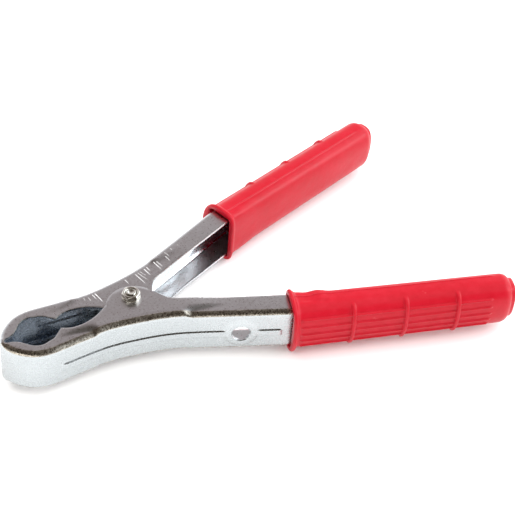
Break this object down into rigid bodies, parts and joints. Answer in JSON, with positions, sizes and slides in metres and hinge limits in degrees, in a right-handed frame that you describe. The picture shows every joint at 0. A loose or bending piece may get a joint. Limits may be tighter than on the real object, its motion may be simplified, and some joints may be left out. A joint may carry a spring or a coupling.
{
  "type": "sprung earth clamp (listed as electrode holder)",
  "caption": "Sprung pliers-type welding clamp with two pressed zinc-plated channel arms, toothed jaws and ribbed red plastic sleeves.",
  "frame": {"origin": "centre of the bottom of the bounding box, the clamp lying on its side", "axes": "+X from the jaws to the handles along their bisector, +Z along the pivot bolt, +Y towards the inner arm's handle"},
  "size_m": [0.2478, 0.1552, 0.0334],
  "materials": {
    "zinc_sheet": "satin zinc plate",
    "red_pvc": "semi-gloss soft PVC",
    "zinc_hardware": "bright zinc plate",
    "spring_steel": "drawn spring wire"
  },
  "bodies": {
    "outer_lever": {"outer_arm": "zinc_sheet", "outer_sleeve": "red_pvc", "pivot_bolt": "zinc_hardware", "pivot_nut": "zinc_hardware", "lock_washer": "zinc_hardware", "spring_bush": "zinc_hardware", "torsion_spring": "spring_steel"},
    "inner_lever": {"inner_arm": "zinc_sheet", "inner_sleeve": "red_pvc"}
  },
  "joints": [
    {"name": "jaw_hinge", "type": "hinge", "parent": "outer_lever", "child": "inner_lever", "pos_m": [-0.05682, 0.00006, 0.01615], "axis": [0, 0, -1], "range_deg": [0, 32], "stiffness_Nm_per_rad": 2.5, "springref_deg": -45.84, "deforming": ["torsion_spring"]}
  ]
}
